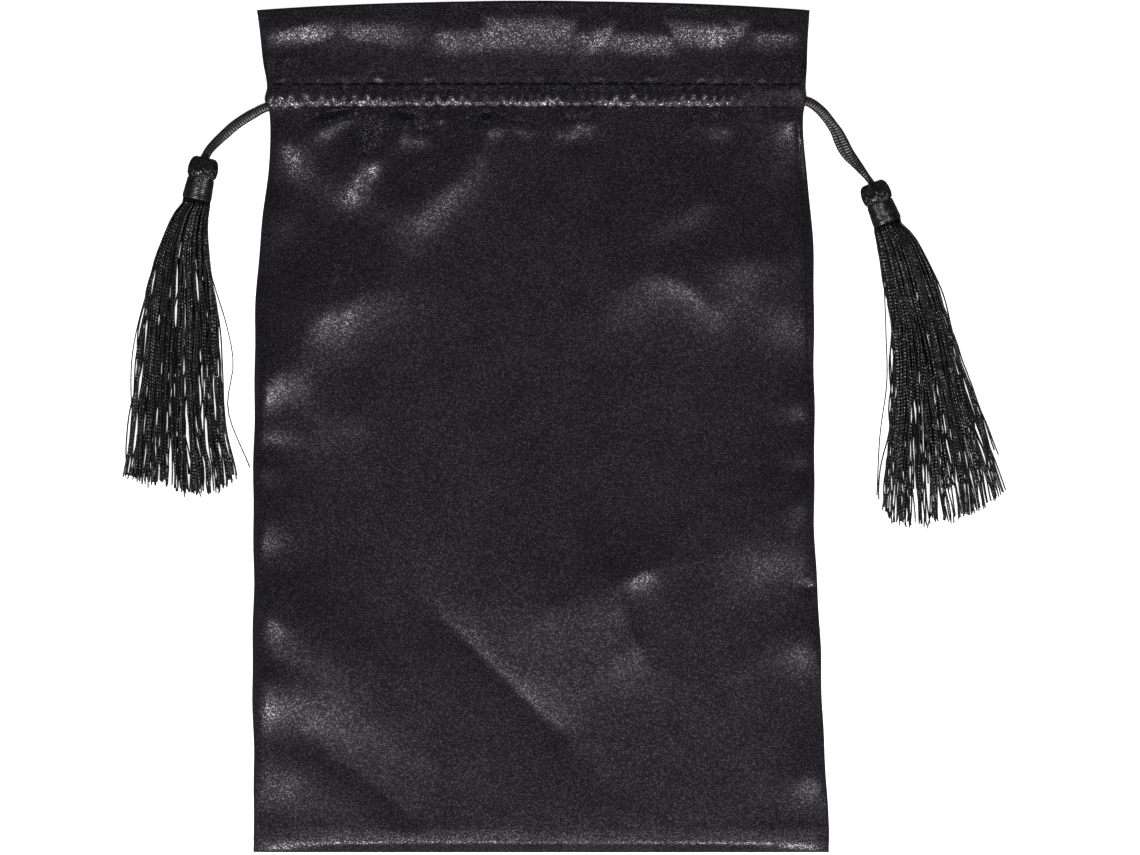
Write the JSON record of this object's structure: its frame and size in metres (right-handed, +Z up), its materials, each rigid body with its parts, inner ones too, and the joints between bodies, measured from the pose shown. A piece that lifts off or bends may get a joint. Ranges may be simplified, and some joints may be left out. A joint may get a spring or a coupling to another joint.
{
  "type": "drawstring bag",
  "caption": "Flat black satin drawstring pouch, lying empty, with a flat braided drawstring and two thread tassels.",
  "frame": {"origin": "on the surface that the bag lies on, under the middle of the bag without its drawstring and tassels", "axes": "+X across the bag to the picture's right, +Y along the bag to its mouth, +Z up from the surface"},
  "size_m": [0.2331, 0.224, 0.0143],
  "materials": {
    "satin": "soft satin sheen",
    "braid": "matt ribbed braid",
    "floss": "twisted thread with a soft gloss"
  },
  "bodies": {
    "root": {"front_panel": "satin", "back_panel": "satin", "drawstring_front": "braid", "drawstring_back": "braid", "tassel_left": "floss", "tassel_right": "floss", "tassel_collar_left": "floss", "tassel_collar_right": "floss"}
  },
  "joints": []
}
